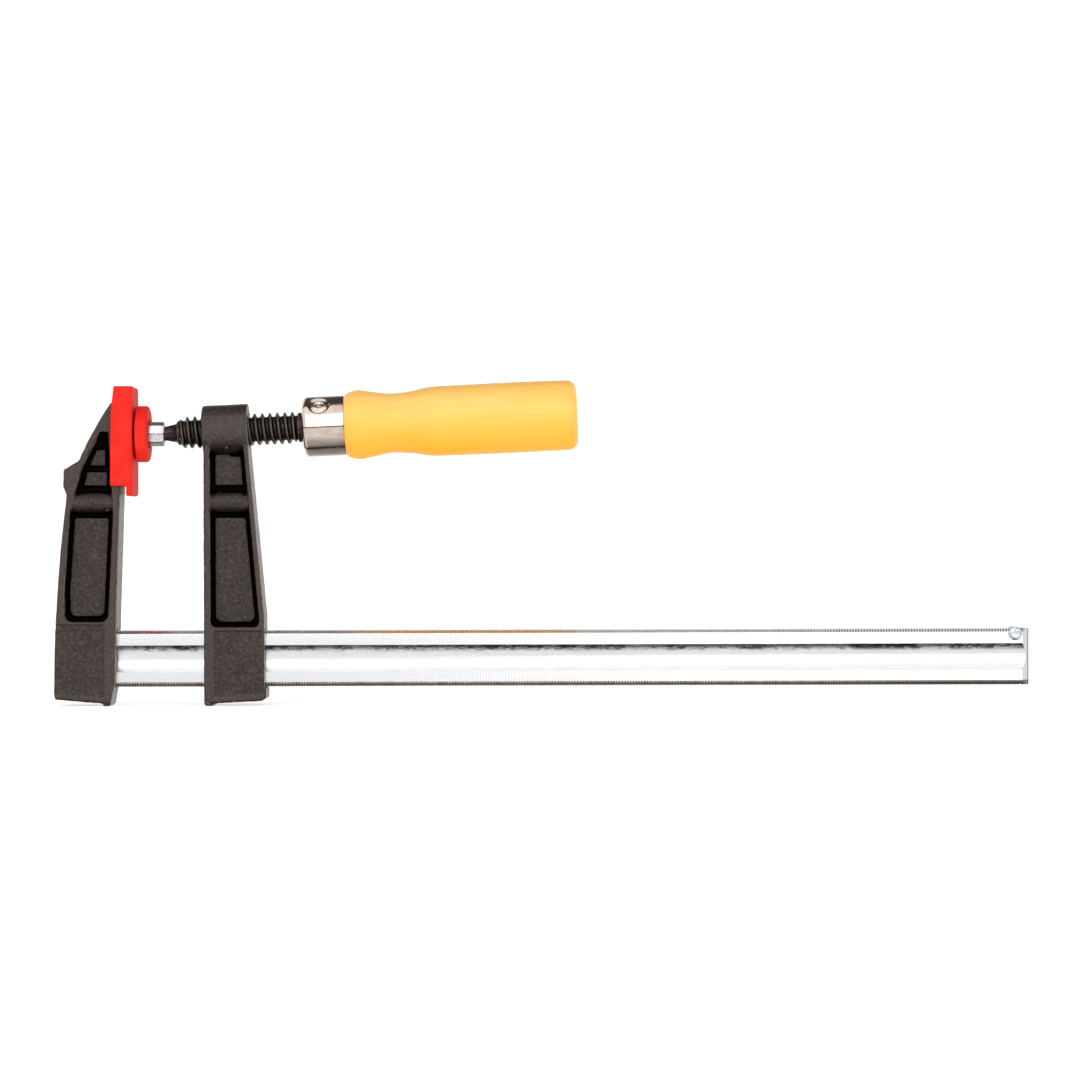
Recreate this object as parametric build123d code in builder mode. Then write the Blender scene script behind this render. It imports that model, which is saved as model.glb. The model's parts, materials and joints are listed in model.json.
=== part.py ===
from build123d import *
import os
from math import cos, radians, sin, sqrt

# An f clamp, 80 x 300 mm, standing on its jaws with the bar level.
# X runs along the bar away from the fixed jaw, Z is up and Y is across.
# The origin is where the screw's axis meets the fixed jaw's pressing face.

# ---------------------------------------------------------------- driving dimensions
screw_tilt = 2.5                    # degrees the screw rises towards its handle

bar_top = -78.1                     # height of the bar's top edge
bar_height = 22.5
bar_half = 4.5                      # half the bar's thickness
bar_start = -30.6                   # end held in the fixed jaw
bar_end = 357.0
bar_chamfer = 1.5                   # chamfers along the bar's edges
groove_half = 5.35                  # half height of the hollow in each side
groove_depth = 2.1
end_bevel = 3.0                     # length of the bevels at the free end
end_land = 0.5                      # half width left between those bevels

foot_level = -108.1                 # what the clamp stands on
slot_gap = 0.25                     # running gap of the sliding jaw on the bar

cast_half = 8.6                     # half thickness of the jaws at their flanges
base_half = 8.1                     # half thickness of the bases round the bar
web_half = 3.1                      # half thickness of the webs between the flanges
panel_rise = 1.1                    # raised panels on the webs
hollow_draft = 4                    # degrees the walls of the hollows slope
panel_draft = 20                    # degrees the edges of the raised panels and steps slope
rib_radius = 4.2                    # rounded rib across each jaw
rib_level = -27.1
rib_centre = -3.6                   # its axis, in front of the middle plane
cast_round = 1.1                    # rounding of the outer cast edges
foot_half = 8.1                     # half thickness of the feet and the biting edge

slide_left = 28.0                   # sliding jaw, face towards the fixed jaw
slide_right = 52.1
boss_radius = 10.4
boss_start = 27.4                   # along the screw's axis
boss_end = 45.6
boss_round = 0.8

stop_x = 351.1                      # stop pin at the bar's free end
stop_drop = 2.1                     # below the bar's top edge
stop_head = 2.75
stop_shank = 1.3
stop_proud = 1.1
stop_rim = 0.35                     # straight rim under the domed head
stop_land = 0.3                     # radius of the flat on top of it

thread_major = 6.4                  # right-hand trapezoidal thread
thread_minor = 4.85
thread_pitch = 3.0
thread_depth = thread_major - thread_minor
thread_start = 17.4                 # along the screw's axis
thread_end = 64.2
bore_radius = 6.5                   # plain bore that stands in for the nut thread

ball_s = 8.4                        # ball centre along the screw's axis
ball_radius = 3.9
ball_flat = 0.8                     # radius of the turned flat on the ball's front
socket_gap = 0.1
stub_radius = 2.2                   # narrowest stretch, just behind the ball
neck_thin = 2.8
neck_thick = 3.75
neck_start = 11.9
neck_full = 16.6

pad_face = 0.9                      # gap between the pad and the fixed jaw's cap
pad_back = 5.8
pad_cap_radius = 11.25
pad_cap_round = 1.3                 # rounding of its back edge
pad_cap_edge = 0.5                  # rounding of its pressing edge
pad_mouth = 5.6                     # radius of the hole the socket comes out of
pad_disc_radius = 9.8
pad_disc_front = 2.4
pad_disc_back = 4.8
socket_radius = 4.95                # octagonal crimped socket, across its corners
socket_end = 12.3
mouth_radius = 3.52

ferrule_start = 67.4                # octagonal drawn ferrule, along the screw's axis
ferrule_end = 84.0
ferrule_radius = 12.35              # across its corners
ferrule_wall = 0.9
ferrule_turn = 3.0                  # degrees its corners are turned about the axis
ferrule_corner = 3.0                # rounding of its long corners
ferrule_round = 2.2                 # rounding of its closed end
pin_s = 74.3                        # cross pin through ferrule, handle and tang
pin_radius = 1.7
pin_rise = 49.0                     # degrees above the horizontal, towards the front
pin_reach = 11.6                    # from the screw's axis to each end of it
pin_round = 0.6
dish_floor = 11.2                   # from the screw's axis to the dish pressed round each end
dish_sphere = 16.4                  # radius the dish is pressed to

tang_radius = 4.7
tang_end = 116.0
neck_hold = 10.3                    # handle neck inside the ferrule
handle_end = 177.0

cap_top = 19.2                      # soft cap on the fixed jaw
cap_bottom = -20.5
cap_lip = -24.4
cap_half = 11.0
cap_wall = 1.5
cap_lip_back = -2.4
cap_back_top = -7.3                 # its back edge bends at one height
cap_back_bend = -8.4
cap_bend_level = 9.0
cap_back_bottom = -8.8
cap_gap = 0.05
cap_corner = 1.6                    # rounding of its long corners
cap_edge = 0.9                      # rounding round its pressing face
flange_edge = -4.9                  # clears the clamping flange below the head plate
head_bottom = -19.4
head_top = 17.2
nib_radius = 0.7                    # moulding nib on its top edge
nib_height = 0.8

# ---------------------------------------------------------------- derived places
bar_bottom = bar_top - bar_height
bar_mid = bar_top - bar_height / 2
tilt = radians(screw_tilt)
ball_x = ball_s * cos(tilt)
ball_z = ball_s * sin(tilt)

screw_axis = Axis((0, 0, 0), (cos(tilt), 0, sin(tilt)))
pad_axis = Axis((0, 0, ball_z), (1, 0, 0))
screw_view = Plane(origin=(0, 0, 0), x_dir=screw_axis.direction, z_dir=(0, -1, 0))
screw_across = Plane(origin=(0, 0, 0), x_dir=(0, 1, 0), z_dir=screw_axis.direction)
pad_view = Plane(origin=(0, 0, ball_z), x_dir=(1, 0, 0), z_dir=(0, -1, 0))
pad_across = Plane(origin=(0, 0, ball_z), x_dir=(0, 1, 0), z_dir=(1, 0, 0))
pin_across = Plane(
    origin=screw_view.from_local_coords((pin_s, 0, 0)),
    x_dir=screw_axis.direction,
    z_dir=screw_view.from_local_coords((0, sin(radians(pin_rise)), cos(radians(pin_rise)))),
)


def export(piece, name):
    """Label a finished piece and write it to its own file."""
    piece.part.label = name
    export_step(piece.part, f"parts/{name}.step")


os.makedirs("parts", exist_ok=True)

# ---------------------------------------------------------------- bar
with BuildPart() as bar:
    with BuildSketch(Plane.YZ.offset(bar_start)):
        with Locations((0, bar_mid)):
            Rectangle(2 * bar_half, bar_height)
        chamfer(vertices(), bar_chamfer)
        groove_radius = (groove_half ** 2 + groove_depth ** 2) / (2 * groove_depth)
        groove_centre = bar_half - groove_depth + groove_radius
        with Locations((groove_centre, bar_mid), (-groove_centre, bar_mid)):
            Circle(groove_radius, mode=Mode.SUBTRACT)
    extrude(amount=bar_end - bar_start)
    with BuildSketch(Plane.XY.offset(bar_bottom)):
        for side in (1, -1):
            with BuildLine():
                Polyline(
                    (bar_end + 1, side * (end_land - (bar_half - end_land) / end_bevel)),
                    (bar_end + 1, side * (bar_half + 1)),
                    (bar_end - end_bevel - end_bevel / (bar_half - end_land), side * (bar_half + 1)),
                    close=True,
                )
            make_face()
    extrude(amount=bar_height, mode=Mode.SUBTRACT)
    with Locations((stop_x, 0, bar_top - stop_drop)):
        Cylinder(stop_shank, 2 * bar_half, rotation=(90, 0, 0), mode=Mode.SUBTRACT)
export(bar, "bar")

# ---------------------------------------------------------------- stop pin
with BuildPart() as stop_pin:
    stop_axis = Axis((stop_x, 0, bar_top - stop_drop), (0, 1, 0))
    stop_top = bar_half + stop_proud
    with BuildSketch(Plane.XY.offset(bar_top - stop_drop)):
        with BuildLine():
            Line((stop_x, 0), (stop_x + stop_shank, 0))
            Line((stop_x + stop_shank, 0), (stop_x + stop_shank, bar_half))
            Line((stop_x + stop_shank, bar_half), (stop_x + stop_head, bar_half))
            Line((stop_x + stop_head, bar_half), (stop_x + stop_head, bar_half + stop_rim))
            ThreePointArc(
                (stop_x + stop_head, bar_half + stop_rim),
                (stop_x + 0.62 * stop_head, bar_half + 0.8 * stop_proud),
                (stop_x + stop_land, stop_top),
            )
            Line((stop_x + stop_land, stop_top), (stop_x, stop_top))
            Line((stop_x, stop_top), (stop_x, 0))
        make_face()
    revolve(axis=stop_axis)
    mirror(about=Plane.XZ)
export(stop_pin, "stop_pin")

# ---------------------------------------------------------------- fixed jaw
with BuildPart() as fixed_jaw:
    # Front half, from its outline seen from the front; mirrored once it is finished.
    with BuildSketch(Plane.XZ):
        with BuildLine():
            slant = ThreePointArc((-8.7, 12.8), (-15.05, 2.6), (-21.6, -10.4))
            Polyline((-5.0, -19.5), (-5.0, 12.8), slant @ 0)
            nub = Polyline(slant @ 1, (-27.6, -14.0), (-27.8, -20.6), (-26.4, -24.0))
            back = ThreePointArc(nub @ 1, (-30.2, -61.8), (-31.7, -104.0))
            Polyline(
                back @ 1, (-31.2, -105.4), (-9.0, -107.3), (-7.2, -98.0), (-6.8, -74.0), (-5.2, -25.4),
                (-5.0, -19.5),
            )
        make_face()
    extrude(amount=cast_half)
    fillet(faces().sort_by(Axis.Y)[0].edges(), cast_round)
    # Foot under the clamping flange.
    with BuildSketch(Plane.XZ):
        with BuildLine():
            Polyline((-12.2, -104.0), (-12.0, foot_level), (-9.6, foot_level), (-9.2, -104.0), close=True)
        make_face()
    extrude(amount=foot_half)
    # Long hollow between the slanted back and the clamping flange.
    with BuildSketch(Plane.XZ.offset(cast_half)):
        with BuildLine():
            FilletPolyline(
                (-13.0, 1.0), (-20.7, -13.5), (-25.4, -32.0), (-27.6, -62.0), (-27.5, -74.6),
                (-10.0, -74.6), (-7.9, -31.2), (-9.7, 1.0),
                radius=[0.9, 4.0, 3.0, 6.0, 3.6, 3.2, 3.0, 0.6], close=True,
            )
        make_face()
    extrude(amount=-(cast_half - web_half), taper=hollow_draft, mode=Mode.SUBTRACT)
    # Raised panels on the webs.
    with BuildSketch(Plane.XZ.offset(web_half)):
        for corners, rounds in (
            ([(-24.0, -32.8), (-26.1, -62.0), (-25.9, -72.8), (-11.6, -72.8), (-9.6, -32.8)],
             [1.2, 6.0, 3.0, 3.0, 1.2]),
            ([(-18.9, -14.5), (-20.5, -20.7), (-10.3, -20.7), (-10.3, -14.5)], [0.8] * 4),
            ([(-15.1, -5.6), (-18.3, -12.6), (-11.0, -12.6), (-11.0, -5.6)], [0.8] * 4),
        ):
            with BuildLine():
                FilletPolyline(*corners, radius=rounds, close=True)
            make_face()
    extrude(amount=panel_rise, taper=panel_draft)
    # Rounded rib across the hollow.
    with BuildSketch(Plane.YZ.offset(-26.2)):
        with Locations((rib_centre, rib_level)):
            Circle(rib_radius)
        split(bisect_by=Plane.XZ, keep=Keep.TOP)
    extrude(amount=19.2)
    # Shallow step that leaves the clamping flange proud of the base.
    with BuildSketch(Plane.XZ.offset(cast_half)):
        with BuildLine():
            Polyline((-11.3, -75.4), (-11.5, -104.6), (-33.0, -103.0), (-33.0, -75.4), close=True)
        make_face()
    extrude(amount=-(cast_half - base_half), taper=panel_draft, mode=Mode.SUBTRACT)
    mirror(about=Plane.XZ)
    # Head plate that the soft cap is pushed over.
    with BuildSketch(Plane.XZ):
        with BuildLine():
            Polyline(
                (-cap_wall - 0.2, head_bottom), (-cap_wall - 0.2, head_top), (-6.6, head_top),
                (-7.4, -1.0), (-8.2, head_bottom), close=True,
            )
        make_face()
    extrude(amount=cap_half - cap_wall - cap_gap, both=True)
    # Window for the bar.
    with BuildSketch(Plane.YZ.offset(-40)):
        with Locations((0, bar_mid)):
            Rectangle(2 * bar_half, bar_height)
    extrude(amount=40, mode=Mode.SUBTRACT)
export(fixed_jaw, "fixed_jaw")

# ---------------------------------------------------------------- fixed jaw cap
with BuildPart() as fixed_jaw_cap:
    with BuildSketch(Plane.XZ):
        with BuildLine():
            Polyline(
                (0, cap_lip), (0, cap_top), (cap_back_top, cap_top), (cap_back_bend, cap_bend_level),
                (cap_back_bottom, cap_bottom), (cap_lip_back, cap_bottom), (cap_lip_back, cap_lip),
                close=True,
            )
        make_face()
    extrude(amount=cap_half, both=True)
    fillet(edges().filter_by(Axis.X), cap_corner)
    fillet(faces().sort_by(Axis.X)[-1].edges(), cap_edge)
    # Cavity for the head plate, open at the back and round the clamping flange.
    with BuildSketch(Plane.XZ):
        with BuildLine():
            Polyline(
                (-cap_wall - 0.15, head_bottom - 0.1), (-cap_wall - 0.15, head_top + 0.1),
                (2 * cap_back_top, head_top + 0.1), (2 * cap_back_top, cap_lip),
                (flange_edge, cap_lip), (flange_edge, head_bottom - 0.1), close=True,
            )
        make_face()
    extrude(amount=cap_half - cap_wall, both=True, mode=Mode.SUBTRACT)
    # Moulding nib on the top edge.
    with Locations((-1.6, 0, cap_top)):
        Cylinder(nib_radius, nib_height)
export(fixed_jaw_cap, "fixed_jaw_cap")

# ---------------------------------------------------------------- sliding jaw
with BuildPart() as sliding_jaw:
    # Front half, from its outline seen from the front; mirrored once it is finished.
    with BuildSketch(Plane.XZ):
        with BuildLine():
            Polyline(
                (slide_left, 4.0), (slide_left, -107.3), (51.2, -106.1), (slide_right, -104.9),
                (slide_right, -72.0), (45.6, -3.0), (44.6, 4.0), close=True,
            )
        make_face()
    extrude(amount=cast_half)
    fillet(faces().sort_by(Axis.Y)[0].edges(), cast_round)
    # Foot under the left flange and biting edge below the bar.
    with BuildSketch(Plane.XZ):
        with BuildLine():
            Polyline((28.3, -104.0), (28.6, foot_level), (31.7, foot_level), (32.0, -104.0), close=True)
        make_face()
        with BuildLine():
            Polyline((50.6, -100.9), (52.4, -100.9), (52.9, -101.6), (52.8, -105.2), (50.6, -105.6), close=True)
        make_face()
    extrude(amount=foot_half)
    # Long hollow between the two flanges.
    with BuildSketch(Plane.XZ.offset(cast_half)):
        with BuildLine():
            FilletPolyline(
                (30.3, -4.0), (30.5, -76.8), (50.3, -76.8), (43.9, -4.0),
                radius=[0.8, 2.4, 2.4, 0.8], close=True,
            )
        make_face()
    extrude(amount=-(cast_half - web_half), taper=hollow_draft, mode=Mode.SUBTRACT)
    # Raised panels on the webs.
    with BuildSketch(Plane.XZ.offset(web_half)):
        for corners, rounds in (
            ([(31.9, -8.4), (31.9, -20.6), (43.9, -20.6), (42.9, -8.4)], [1.0] * 4),
            ([(31.9, -32.8), (32.0, -75.2), (48.7, -75.2), (44.8, -32.8)], [1.0, 3.0, 3.0, 1.0]),
        ):
            with BuildLine():
                FilletPolyline(*corners, radius=rounds, close=True)
            make_face()
    extrude(amount=panel_rise, taper=panel_draft)
    # Rounded rib across the hollow.
    with BuildSketch(Plane.YZ.offset(29.2)):
        with Locations((rib_centre, rib_level)):
            Circle(rib_radius)
        split(bisect_by=Plane.XZ, keep=Keep.TOP)
    extrude(amount=17.6)
    # Shallow step that leaves the left flange proud of the base.
    with BuildSketch(Plane.XZ.offset(cast_half)):
        with BuildLine():
            Polyline((31.9, -78.0), (31.9, -104.4), (56.0, -102.8), (56.0, -78.0), close=True)
        make_face()
    extrude(amount=-(cast_half - base_half), taper=panel_draft, mode=Mode.SUBTRACT)
    mirror(about=Plane.XZ)
    # Boss for the screw.
    with BuildSketch(screw_across.offset(boss_start)):
        Circle(boss_radius)
    extrude(amount=boss_end - boss_start)
    fillet(edges().filter_by(GeomType.CIRCLE).group_by(Edge.length)[-1], boss_round)
    with BuildSketch(screw_across.offset(boss_start - 4)):
        Circle(bore_radius)
    extrude(amount=boss_end - boss_start + 8, mode=Mode.SUBTRACT)
    # Slot that runs on the bar.
    with BuildSketch(Plane.YZ.offset(slide_left - 2)):
        with Locations((0, bar_mid)):
            Rectangle(2 * (bar_half + slot_gap), bar_height + 2 * slot_gap)
    extrude(amount=40, mode=Mode.SUBTRACT)
export(sliding_jaw, "sliding_jaw")

# ---------------------------------------------------------------- spindle
with BuildPart() as spindle:
    # Right-hand thread ridge, sunk a little into the core and tapered where it starts.
    ridge_origin = screw_view.from_local_coords((thread_start, 0, 0))
    with BuildLine():
        ridge_path = Helix(
            pitch=thread_pitch,
            height=thread_end - thread_start,
            radius=thread_minor,
            center=ridge_origin,
            direction=screw_axis.direction,
        )
    with BuildSketch(Plane(ridge_path @ 0, x_dir=(ridge_path @ 0) - ridge_origin, z_dir=ridge_path % 0)):
        with BuildLine():
            Polyline(
                (-0.25, -1.05), (0, -1.0), (thread_depth, -0.4), (thread_depth, 0.4), (0, 1.0),
                (-0.25, 1.05), close=True,
            )
        make_face()
    sweep(is_frenet=True)
    with BuildSketch(screw_view):
        with BuildLine():
            Polyline(
                (thread_start - 5, 0), (thread_start - 5, 4.0), (thread_start - 1, 4.0),
                (thread_start + 2, thread_major + 0.5), (thread_end + 3, thread_major + 0.5),
                (thread_end + 3, 0), close=True,
            )
        make_face()
    revolve(axis=screw_axis, mode=Mode.INTERSECT)
    # Neck, core, shoulder against the ferrule and tang inside the handle.
    with BuildSketch(screw_view):
        with BuildLine():
            Polyline(
                (neck_start, 0), (neck_start, neck_thin), (12.6, neck_thin), (neck_full, neck_thick),
                (thread_start, thread_minor), (thread_end + 0.6, thread_minor),
                (thread_end + 1.0, thread_major), (ferrule_start - 0.05, thread_major),
                (ferrule_start - 0.05, tang_radius), (tang_end - 1, tang_radius),
                (tang_end, tang_radius - 1), (tang_end, 0), close=True,
            )
        make_face()
    revolve(axis=screw_axis)
    with BuildSketch(pin_across):
        Circle(pin_radius)
    extrude(amount=20, both=True, mode=Mode.SUBTRACT)
export(spindle, "spindle")

# ---------------------------------------------------------------- spindle ball
with BuildPart() as spindle_ball:
    # Ball with a small turned flat in front and the stub of neck behind it, in one profile.
    flat_edge = (ball_s - sqrt(ball_radius ** 2 - ball_flat ** 2), ball_flat)
    stub_root = (ball_s + sqrt(ball_radius ** 2 - stub_radius ** 2), stub_radius)
    with BuildSketch(screw_view):
        with BuildLine():
            ThreePointArc(flat_edge, (ball_s, ball_radius), stub_root)
            Polyline(
                stub_root, (neck_start - 0.2, stub_radius), (neck_start - 0.05, neck_thin - 0.2),
                (neck_start - 0.05, 0), (flat_edge[0], 0), flat_edge,
            )
        make_face()
    revolve(axis=screw_axis)
export(spindle_ball, "spindle_ball")

# ---------------------------------------------------------------- swivel pad
with BuildPart() as swivel_pad:
    with BuildSketch(pad_across.offset(pad_disc_front)):
        Circle(pad_disc_radius)
    extrude(amount=pad_disc_back - pad_disc_front)
    fillet(edges().group_by(Axis.X)[-1], 0.5)
    with BuildSketch(pad_across.offset(pad_disc_back - 0.5)):
        RegularPolygon(socket_radius, 8)
        fillet(vertices(), 0.7)
    extrude(amount=socket_end - pad_disc_back + 0.5)
    # The crimped mouth is rounded over the ball.
    with BuildSketch(pad_view):
        with BuildLine():
            over = ThreePointArc((socket_end - 2.4, 5.2), (socket_end - 0.7, 4.6), (socket_end, 3.6))
            Polyline(over @ 1, (socket_end + 1, 3.6), (socket_end + 1, 6.5), (socket_end - 2.4, 6.5), over @ 0)
        make_face()
    revolve(axis=pad_axis, mode=Mode.SUBTRACT)
    with Locations((ball_x, 0, ball_z)):
        Sphere(ball_radius + socket_gap, mode=Mode.SUBTRACT)
    with BuildSketch(pad_across.offset(ball_x)):
        Circle(mouth_radius)
    extrude(amount=8, mode=Mode.SUBTRACT)
export(swivel_pad, "swivel_pad")

# ---------------------------------------------------------------- pad cap
with BuildPart() as pad_cap:
    with BuildSketch(pad_across.offset(pad_face)):
        Circle(pad_cap_radius)
    extrude(amount=pad_back - pad_face)
    fillet(edges().group_by(Axis.X)[-1], pad_cap_round)
    fillet(edges().group_by(Axis.X)[0], pad_cap_edge)
    with BuildSketch(pad_across.offset(pad_disc_front)):
        Circle(pad_disc_radius + cap_gap)
    extrude(amount=pad_disc_back - pad_disc_front + cap_gap, mode=Mode.SUBTRACT)
    with BuildSketch(pad_across.offset(pad_disc_back)):
        Circle(pad_mouth)
    extrude(amount=4, mode=Mode.SUBTRACT)
export(pad_cap, "pad_cap")

# ---------------------------------------------------------------- ferrule
with BuildPart() as ferrule:
    with BuildSketch(screw_across.offset(ferrule_start)):
        RegularPolygon(ferrule_radius, 8, rotation=ferrule_turn)
        fillet(vertices(), ferrule_corner)
    extrude(amount=ferrule_end - ferrule_start)
    fillet(faces().sort_by(screw_axis)[0].edges(), ferrule_round)
    with BuildSketch(screw_across.offset(ferrule_start + ferrule_wall)):
        RegularPolygon(ferrule_radius - ferrule_wall / cos(radians(22.5)), 8, rotation=ferrule_turn)
        fillet(vertices(), ferrule_corner - ferrule_wall)
    extrude(amount=ferrule_end - ferrule_start, mode=Mode.SUBTRACT)
    with BuildSketch(screw_across.offset(ferrule_start - 1)):
        Circle(tang_radius + 0.1)
    extrude(amount=4, mode=Mode.SUBTRACT)
    with BuildSketch(pin_across):
        Circle(pin_radius)
    extrude(amount=20, both=True, mode=Mode.SUBTRACT)
    # Dishes pressed round the ends of the pin.
    dish_centre = dish_floor + dish_sphere
    with Locations([pin_across.from_local_coords((0, 0, side * dish_centre)) for side in (1, -1)]):
        Sphere(dish_sphere, mode=Mode.SUBTRACT)
export(ferrule, "ferrule")

# ---------------------------------------------------------------- ferrule pin
with BuildPart() as ferrule_pin:
    with BuildSketch(pin_across):
        Circle(pin_radius)
    extrude(amount=pin_reach, both=True)
    fillet(edges().filter_by(GeomType.CIRCLE), pin_round)
export(ferrule_pin, "ferrule_pin")

# ---------------------------------------------------------------- handle
with BuildPart() as handle:
    with BuildSketch(screw_view):
        with BuildLine():
            Polyline(
                (ferrule_start + 1.0, 0), (ferrule_start + 1.0, neck_hold), (ferrule_end + 0.05, neck_hold),
                (ferrule_end + 0.05, 11.3),
            )
            shoulder = Spline(
                (ferrule_end + 0.05, 11.3), (87.0, 13.35), (90.2, 13.85), (94.6, 13.05), (102.8, 11.85),
                (111.4, 12.55), (118.4, 13.75), (128.0, 13.95), tangents=((0.35, 1.0), (1.0, 0.0)),
            )
            body = ThreePointArc(shoulder @ 1, (150.0, 14.1), (172.4, 13.9))
            end = ThreePointArc(body @ 1, (175.8, 12.8), (handle_end, 9.9))
            Polyline(end @ 1, (handle_end, 0), (ferrule_start + 1.0, 0))
        make_face()
    revolve(axis=screw_axis)
    with BuildSketch(screw_across.offset(ferrule_start)):
        Circle(tang_radius)
    extrude(amount=tang_end - ferrule_start + 0.5, mode=Mode.SUBTRACT)
    with BuildSketch(pin_across):
        Circle(pin_radius)
    extrude(amount=20, both=True, mode=Mode.SUBTRACT)
export(handle, "handle")
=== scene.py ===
import bmesh
import bpy
import json
import math
import numpy as np
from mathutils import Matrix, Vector, noise


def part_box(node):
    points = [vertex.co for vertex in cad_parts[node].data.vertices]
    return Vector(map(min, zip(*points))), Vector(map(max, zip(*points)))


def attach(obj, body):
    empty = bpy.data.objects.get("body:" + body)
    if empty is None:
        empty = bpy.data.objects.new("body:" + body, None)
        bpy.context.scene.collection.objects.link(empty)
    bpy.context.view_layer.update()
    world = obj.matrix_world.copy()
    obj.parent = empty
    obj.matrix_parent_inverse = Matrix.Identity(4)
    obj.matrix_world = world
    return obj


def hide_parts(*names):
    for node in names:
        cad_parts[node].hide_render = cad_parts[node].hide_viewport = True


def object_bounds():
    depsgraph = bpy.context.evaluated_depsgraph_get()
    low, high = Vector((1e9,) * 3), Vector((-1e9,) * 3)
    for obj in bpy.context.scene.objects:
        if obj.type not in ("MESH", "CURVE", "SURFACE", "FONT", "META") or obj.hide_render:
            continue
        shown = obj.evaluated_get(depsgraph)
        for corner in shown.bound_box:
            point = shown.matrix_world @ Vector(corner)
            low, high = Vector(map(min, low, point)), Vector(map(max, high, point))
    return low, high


# An f clamp against a plain white studio floor. Everything is in metres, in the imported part's own frame.

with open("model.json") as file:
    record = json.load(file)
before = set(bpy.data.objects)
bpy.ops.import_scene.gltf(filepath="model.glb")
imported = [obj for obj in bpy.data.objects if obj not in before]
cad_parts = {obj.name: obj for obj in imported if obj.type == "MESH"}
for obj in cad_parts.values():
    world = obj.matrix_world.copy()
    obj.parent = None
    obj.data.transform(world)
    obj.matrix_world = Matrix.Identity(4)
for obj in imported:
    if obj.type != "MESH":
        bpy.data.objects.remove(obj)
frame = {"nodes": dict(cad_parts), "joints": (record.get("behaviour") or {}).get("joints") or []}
cad_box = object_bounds()
MM = 0.001


# ---------------------------------------------------------------- places taken from the frame
class Axle:
    """A straight axis. A place is its distance along it, its radius, and its angle upwards from the front."""

    def __init__(self, origin, along):
        self.origin = np.array(origin, float)
        self.along = np.array(along, float) / np.linalg.norm(along)
        self.front = np.array((0.0, -1.0, 0.0))
        if abs(self.along @ self.front) > 0.9:
            self.front = np.array((1.0, 0.0, 0.0))
        self.up = np.cross(self.front, self.along)

    def ring(self, distance, radii, angles):
        """The points of one ring, in metres, from millimetres and radians."""
        radii = np.broadcast_to(np.asarray(radii, float), angles.shape)
        across = np.cos(angles)[:, None] * self.front + np.sin(angles)[:, None] * self.up
        return self.origin + MM * (distance * self.along + radii[:, None] * across)


joints = {j["name"]: j for j in frame["joints"]}
screw = Axle((0, 0, 0), joints["handle_turn"]["axis"])
pad_pivot = joints["pad_tilt"]["pos_m"]
pad_axle = Axle((0, 0, pad_pivot[2]), (1, 0, 0))
screw_tilt = math.atan2(screw.along[2], screw.along[0])


# ---------------------------------------------------------------- mesh helpers
def turn(count):
    """The angles of evenly spaced points round a full turn."""
    return np.arange(count) * 2 * math.pi / count


def skin(name, rings, crease, joined=False):
    """A closed surface through rings of points, capped at both ends or joined end to end."""
    width = len(rings[0])
    points = np.concatenate(rings)
    faces = []
    for i in range(len(rings) if joined else len(rings) - 1):
        near, far = i * width, (i + 1) % len(rings) * width
        for j in range(width):
            k = (j + 1) % width
            faces.append((near + j, near + k, far + k, far + j))
    if not joined:
        faces.append(tuple(range(width)))
        faces.append(tuple(range(len(points) - width, len(points))))
    mesh = bpy.data.meshes.new(name)
    mesh.from_pydata(points.tolist(), [], faces)
    return dressed(name, mesh, crease)


def dressed(name, mesh, crease):
    """An object from a mesh, with outward faces, smooth apart from edges sharper than the crease."""
    form = bmesh.new()
    form.from_mesh(mesh)
    bmesh.ops.recalc_face_normals(form, faces=form.faces)
    form.to_mesh(mesh)
    form.free()
    mesh.shade_smooth()
    mesh.set_sharp_from_angle(angle=math.radians(crease))
    made = bpy.data.objects.new(name, mesh)
    bpy.context.scene.collection.objects.link(made)
    return made


def lathe(name, axle, profile, steps, crease):
    """A turned piece from (distance, radius) pairs in millimetres."""
    return skin(name, [axle.ring(s, r, turn(steps)) for s, r in profile], crease)


def softened(name, node, voxel, rounds):
    """A copy of a CAD node on an even grid of small faces, with its edges rounded like a casting's."""
    form = bmesh.new()
    form.from_mesh(frame["nodes"][node].data)
    bmesh.ops.remove_doubles(form, verts=form.verts, dist=1e-6)
    mesh = bpy.data.meshes.new(name)
    form.to_mesh(mesh)
    form.free()
    made = bpy.data.objects.new(name, mesh)
    bpy.context.scene.collection.objects.link(made)
    grid = made.modifiers.new("grid", "REMESH")
    grid.mode = "VOXEL"
    grid.voxel_size = voxel * MM
    soften = made.modifiers.new("soften", "SMOOTH")
    soften.factor = 0.5
    soften.iterations = rounds
    final = bpy.data.meshes.new_from_object(made.evaluated_get(bpy.context.evaluated_depsgraph_get()))
    bpy.data.objects.remove(made)
    final.name = name
    final.materials.clear()
    return dressed(name, final, crease=60)


def coordinates(mesh):
    flat = np.empty(len(mesh.vertices) * 3, np.float32)
    mesh.vertices.foreach_get("co", flat)
    return flat.reshape(-1, 3).astype(float)


def place_vertices(mesh, points):
    mesh.vertices.foreach_set("co", points.astype(np.float32).ravel())
    mesh.update()


def roughened(made, node, height, size):
    """The uneven skin of a sand casting: low lumps along the normals, kept inside the CAD piece's box."""
    mesh = made.data
    points = coordinates(mesh)
    normals = np.array([v.normal for v in mesh.vertices])
    lumps = np.array([noise.fractal(Vector(p) / (size * MM), 0.8, 2.0, 3) for p in points])
    place_vertices(mesh, np.clip(points + normals * (lumps * height * MM)[:, None], *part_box(node)))
    return made


def settle(made, material, body, slot, *nodes):
    """Give a new piece its material and body, and hide the CAD nodes that it stands for."""
    made.data.materials.append(material)
    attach(made, body)
    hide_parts(*nodes)
    return made


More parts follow.
